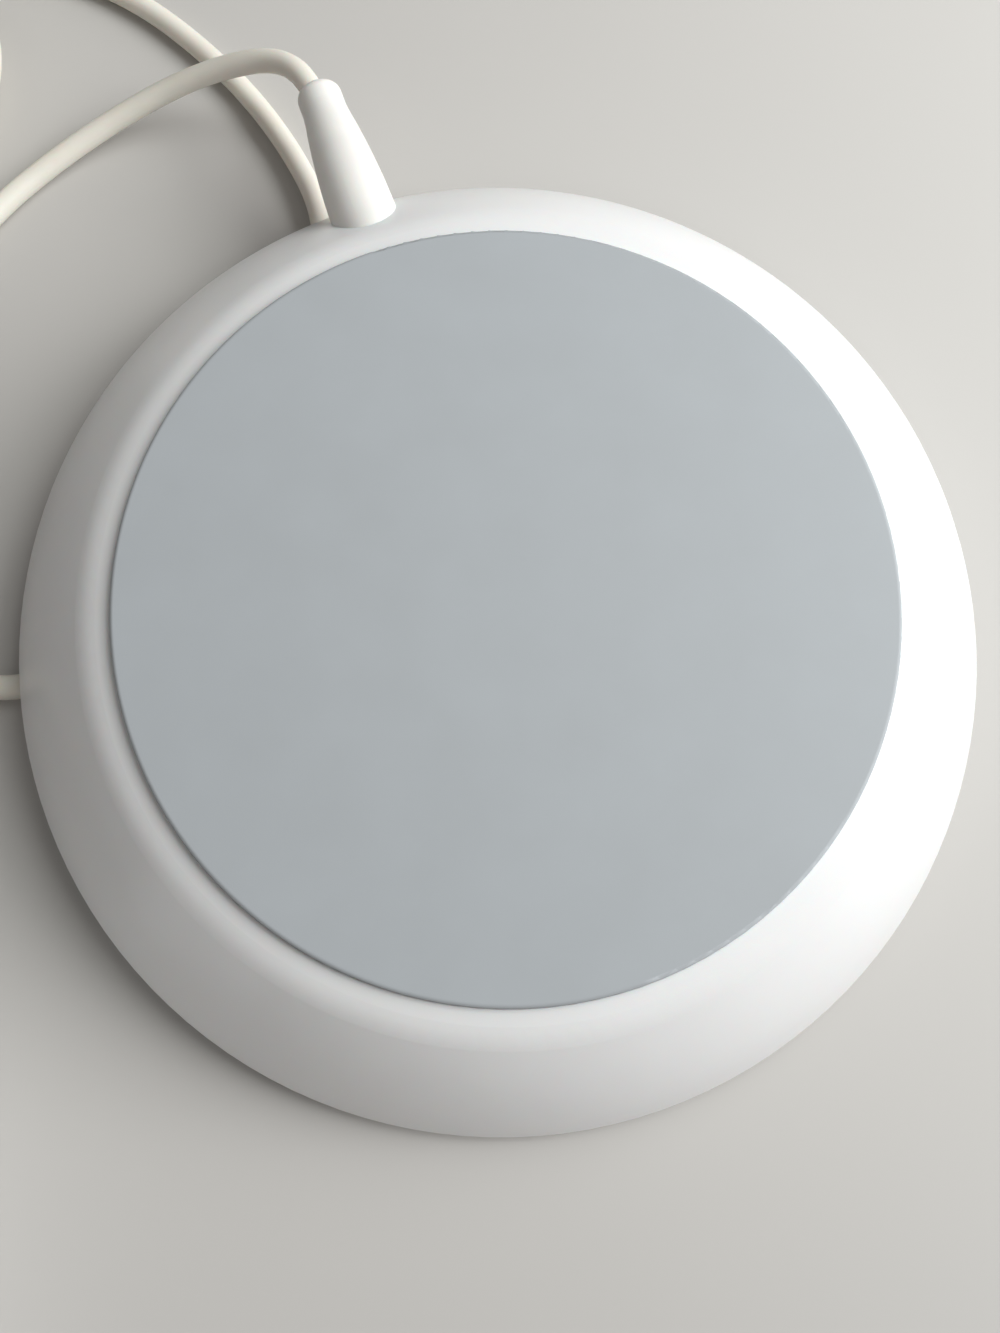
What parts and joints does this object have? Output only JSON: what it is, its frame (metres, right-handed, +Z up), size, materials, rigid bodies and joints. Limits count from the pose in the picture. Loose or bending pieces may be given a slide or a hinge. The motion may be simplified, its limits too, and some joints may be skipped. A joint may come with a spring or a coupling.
{
  "type": "mug charging coaster",
  "caption": "Round charging coaster for a heated mug, lying upside down with its grey base pad up, with spring contacts in its dish and a coiled lead to a wall adapter.",
  "frame": {"origin": "on the table, under the centre of the coaster's rim", "axes": "+Z up with the coaster's base pad facing up; -Y towards the person who looks at it; the lead leaves between +Y and -X. The coaster leans 1.73 degrees, low side towards -29 degrees from +X, because it lies on its own lead"},
  "size_m": [0.1636, 0.1881, 0.044],
  "materials": {
    "shell_white": "fine moulded satin",
    "inner_plastic": "moulded, unseen",
    "grey_rubber": "matte",
    "adhesive_film": "film",
    "pad_grey": "matte, faintly cloudy",
    "screw_steel": "plain zinc",
    "ballast_steel": "plain pressed steel",
    "board_green": "solder mask",
    "chip_black": "moulded epoxy",
    "capacitor_tan": "ceramic",
    "ferrite_grey": "sintered",
    "barrel_brass": "turned",
    "pin_gilt": "gilt, polished",
    "spring_steel": "drawn wire",
    "connector_ivory": "moulded nylon",
    "wire_red": "insulation",
    "wire_black": "insulation",
    "boot_white": "soft satin",
    "cord_jacket": "soft satin, slightly cream",
    "tie_white": "soft band",
    "adapter_white": "fine moulded satin",
    "blade_nickel": "nickel plate",
    "capacitor_sleeve": "shrink sleeve"
  },
  "bodies": {
    "coaster": {"outer_shell": "shell_white", "base_plate": "inner_plastic", "base_gasket": "grey_rubber", "pad_adhesive": "adhesive_film", "base_pad": "pad_grey", "base_screws": "screw_steel", "ballast_plate": "ballast_steel", "circuit_board": "board_green", "board_screws": "screw_steel", "switch_chips": "chip_black", "filter_capacitors": "capacitor_tan", "filter_inductor": "ferrite_grey", "fuse": "chip_black", "contact_block": "inner_plastic", "contact_seals": "grey_rubber", "contact_barrel_inner": "barrel_brass", "contact_spring_inner": "spring_steel", "contact_barrel_outer": "barrel_brass", "contact_spring_outer": "spring_steel", "board_socket": "connector_ivory", "lead_plug": "connector_ivory", "lead_positive": "wire_red", "lead_negative": "wire_black", "cord_clamp": "inner_plastic", "clamp_screws": "screw_steel", "strain_relief": "boot_white", "cord_core": "cord_jacket", "cord_run_near": "cord_jacket", "cord_coil": "cord_jacket", "cord_run_far": "cord_jacket", "coil_ties": "tie_white", "adapter_rear_case": "adapter_white", "adapter_front_case": "adapter_white", "adapter_blades": "blade_nickel", "adapter_strain_relief": "boot_white", "adapter_cord_core": "cord_jacket", "adapter_board": "board_green", "adapter_transformer": "ferrite_grey", "adapter_capacitors": "capacitor_sleeve", "adapter_wires": "wire_black", "adapter_leads": "wire_red"},
    "inner_pin": {"contact_pin_inner": "pin_gilt"},
    "outer_pin": {"contact_pin_outer": "pin_gilt"}
  },
  "joints": [
    {"name": "contact_inner_travel", "type": "slide", "parent": "coaster", "child": "inner_pin", "axis": [0.0264, -0.0146, 0.9995], "range_m": [0, 0.001], "stiffness_N_per_m": 700, "springref_m": -0.0006, "deforming": ["contact_spring_inner"]},
    {"name": "contact_outer_travel", "type": "slide", "parent": "coaster", "child": "outer_pin", "axis": [0.0264, -0.0146, 0.9995], "range_m": [0, 0.001], "stiffness_N_per_m": 700, "springref_m": -0.0006, "deforming": ["contact_spring_outer"]}
  ]
}
